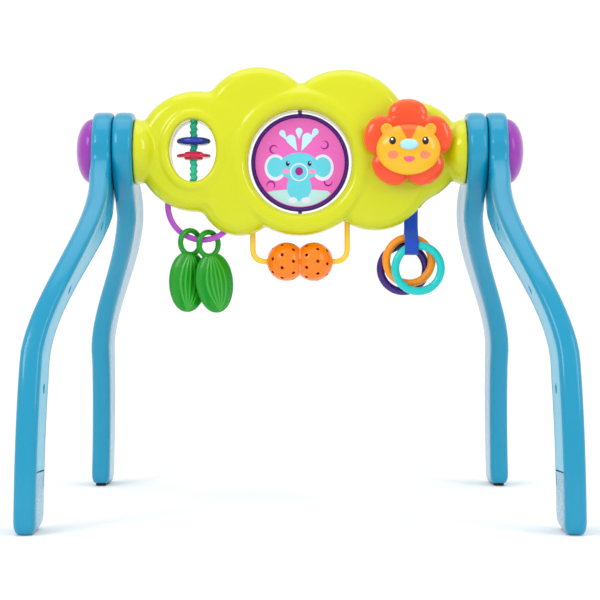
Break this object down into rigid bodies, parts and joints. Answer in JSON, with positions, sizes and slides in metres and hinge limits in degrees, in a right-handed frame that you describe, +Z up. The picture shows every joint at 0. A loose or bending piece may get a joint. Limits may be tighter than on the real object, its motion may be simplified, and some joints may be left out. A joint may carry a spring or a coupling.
{
  "type": "activity play gym",
  "caption": "Folding arched activity gym for a baby, with a cloud-shaped header panel, a window spinner, sliding discs, a flower dial and hanging leaf, rattle and ring toys.",
  "frame": {"origin": "on the floor, under the middle of the object", "axes": "+Z up, +X to the right of someone looking at the panel's front, +Y away from them, along the legs' fold"},
  "size_m": [0.5492, 0.4952, 0.4804],
  "materials": {
    "lime_plastic": "glossy moulded plastic",
    "blue_plastic": "glossy moulded plastic",
    "blue_cover": "glossy moulded plastic",
    "purple_plastic": "glossy moulded plastic",
    "rim_purple": "glossy moulded plastic",
    "pink_print": "printed plastic disc",
    "teal_plastic": "glossy moulded plastic",
    "navy_plastic": "glossy moulded plastic",
    "crimson_plastic": "glossy moulded plastic",
    "petal_orange": "glossy moulded plastic",
    "face_yellow": "glossy moulded plastic",
    "nose_blue": "glossy moulded plastic",
    "white_plastic": "moulded plastic",
    "loop_purple": "glossy moulded plastic",
    "leaf_green": "soft translucent teether plastic",
    "loop_yellow": "glossy moulded plastic",
    "rattle_orange": "glossy moulded plastic",
    "ring_turquoise": "glossy moulded plastic",
    "ring_orange": "glossy moulded plastic",
    "ring_purple": "glossy moulded plastic",
    "strap_fabric": "woven polyester strap",
    "steel": "zinc-plated steel",
    "foot_rubber": "anti-slip rubber"
  },
  "bodies": {
    "header": {"front_shell": "lime_plastic", "rear_shell": "lime_plastic", "shell_screw_1": "steel", "shell_screw_2": "steel", "shell_screw_3": "steel", "shell_screw_4": "steel", "shell_screw_5": "steel", "shell_screw_6": "steel", "left_pivot_axle": "steel", "right_pivot_axle": "steel", "left_retaining_ring": "steel", "right_retaining_ring": "steel", "left_button_spring": "steel", "right_button_spring": "steel", "threaded_rod": "teal_plastic", "click_spring": "steel", "leaf_loop": "loop_purple", "rattle_loop": "loop_yellow", "strap_pin": "steel"},
    "front_left_leg": {"front_left_leg_shell": "blue_plastic", "front_left_leg_cover": "blue_cover", "front_left_foot_pad": "foot_rubber"},
    "front_right_leg": {"front_right_leg_shell": "blue_plastic", "front_right_leg_cover": "blue_cover", "front_right_foot_pad": "foot_rubber"},
    "rear_left_leg": {"rear_left_leg_shell": "blue_plastic", "rear_left_leg_cover": "blue_cover", "rear_left_foot_pad": "foot_rubber"},
    "rear_right_leg": {"rear_right_leg_shell": "blue_plastic", "rear_right_leg_cover": "blue_cover", "rear_right_foot_pad": "foot_rubber"},
    "left_button": {"left_release_button": "purple_plastic"},
    "right_button": {"right_release_button": "purple_plastic"},
    "spinner": {"spinner_rim": "rim_purple", "spinner_print_front": "pink_print", "spinner_print_rear": "pink_print"},
    "upper_disc": {"blue_disc": "navy_plastic"},
    "lower_disc": {"red_disc": "crimson_plastic"},
    "flower": {"flower_petals": "petal_orange", "flower_face": "face_yellow", "flower_nose": "nose_blue", "flower_spindle": "white_plastic"},
    "leaf_left": {"left_leaf": "leaf_green"},
    "leaf_right": {"right_leaf": "leaf_green"},
    "rattle": {"rattle_left_half": "rattle_orange", "rattle_right_half": "rattle_orange", "rattle_bead_1": "white_plastic", "rattle_bead_2": "white_plastic", "rattle_bead_3": "white_plastic"},
    "strap": {"ring_strap": "strap_fabric"},
    "ring_front": {"turquoise_ring": "ring_turquoise"},
    "ring_middle": {"orange_ring": "ring_orange"},
    "ring_back": {"purple_ring": "ring_purple"}
  },
  "joints": [
    {"name": "front_left_fold", "type": "hinge", "parent": "header", "child": "front_left_leg", "pos_m": [-0.2148, 0, 0.388], "axis": [1, 0, 0], "range_deg": [0, 27]},
    {"name": "front_right_fold", "type": "hinge", "parent": "header", "child": "front_right_leg", "pos_m": [0.2148, 0, 0.388], "axis": [1, 0, 0], "range_deg": [0, 27]},
    {"name": "rear_left_fold", "type": "hinge", "parent": "header", "child": "rear_left_leg", "pos_m": [-0.1924, 0, 0.388], "axis": [-1, 0, 0], "range_deg": [0, 27]},
    {"name": "rear_right_fold", "type": "hinge", "parent": "header", "child": "rear_right_leg", "pos_m": [0.1924, 0, 0.388], "axis": [-1, 0, 0], "range_deg": [0, 27]},
    {"name": "left_button_press", "type": "slide", "parent": "header", "child": "left_button", "axis": [1, 0, 0], "range_m": [0, 0.005], "stiffness_N_per_m": 500, "springref_m": -0.003, "deforming": ["left_button_spring"]},
    {"name": "right_button_press", "type": "slide", "parent": "header", "child": "right_button", "axis": [-1, 0, 0], "range_m": [0, 0.005], "stiffness_N_per_m": 500, "springref_m": -0.003, "deforming": ["right_button_spring"]},
    {"name": "spinner_spin", "type": "hinge", "parent": "header", "child": "spinner", "pos_m": [0, 0, 0.3759], "axis": [0, 0, 1], "continuous": true},
    {"name": "upper_disc_slide", "type": "slide", "parent": "header", "child": "upper_disc", "axis": [0, 0, 1], "range_m": [-0.0025, 0.008]},
    {"name": "lower_disc_slide", "type": "slide", "parent": "header", "child": "lower_disc", "axis": [0, 0, 1], "range_m": [-0.014, 0.0025]},
    {"name": "flower_turn", "type": "hinge", "parent": "header", "child": "flower", "pos_m": [0.1166, -0.034, 0.3935], "axis": [0, -1, 0], "continuous": true},
    {"name": "left_leaf_swing", "type": "hinge", "parent": "header", "child": "leaf_left", "pos_m": [-0.11904, 0, 0.29296], "axis": [0.9511, 0, -0.309], "range_deg": [-5, 35]},
    {"name": "right_leaf_swing", "type": "hinge", "parent": "header", "child": "leaf_right", "pos_m": [-0.10136, 0, 0.29157], "axis": [0.9877, 0, 0.1564], "range_deg": [-35, 5]},
    {"name": "rattle_spin", "type": "hinge", "parent": "header", "child": "rattle", "pos_m": [0, 0, 0.2672], "axis": [1, 0, 0], "continuous": true},
    {"name": "strap_swing", "type": "hinge", "parent": "header", "child": "strap", "pos_m": [0.122, 0, 0.334], "axis": [1, 0, 0], "range_deg": [-16, 16]},
    {"name": "turquoise_ring_turn", "type": "hinge", "parent": "strap", "child": "ring_front", "pos_m": [0.1293, -0.0093, 0.2596], "axis": [0, 1, 0], "continuous": true},
    {"name": "orange_ring_turn", "type": "hinge", "parent": "strap", "child": "ring_middle", "pos_m": [0.1199, 0, 0.2684], "axis": [0, 1, 0], "continuous": true},
    {"name": "purple_ring_turn", "type": "hinge", "parent": "strap", "child": "ring_back", "pos_m": [0.114, 0.0093, 0.2596], "axis": [0, 1, 0], "continuous": true}
  ]
}
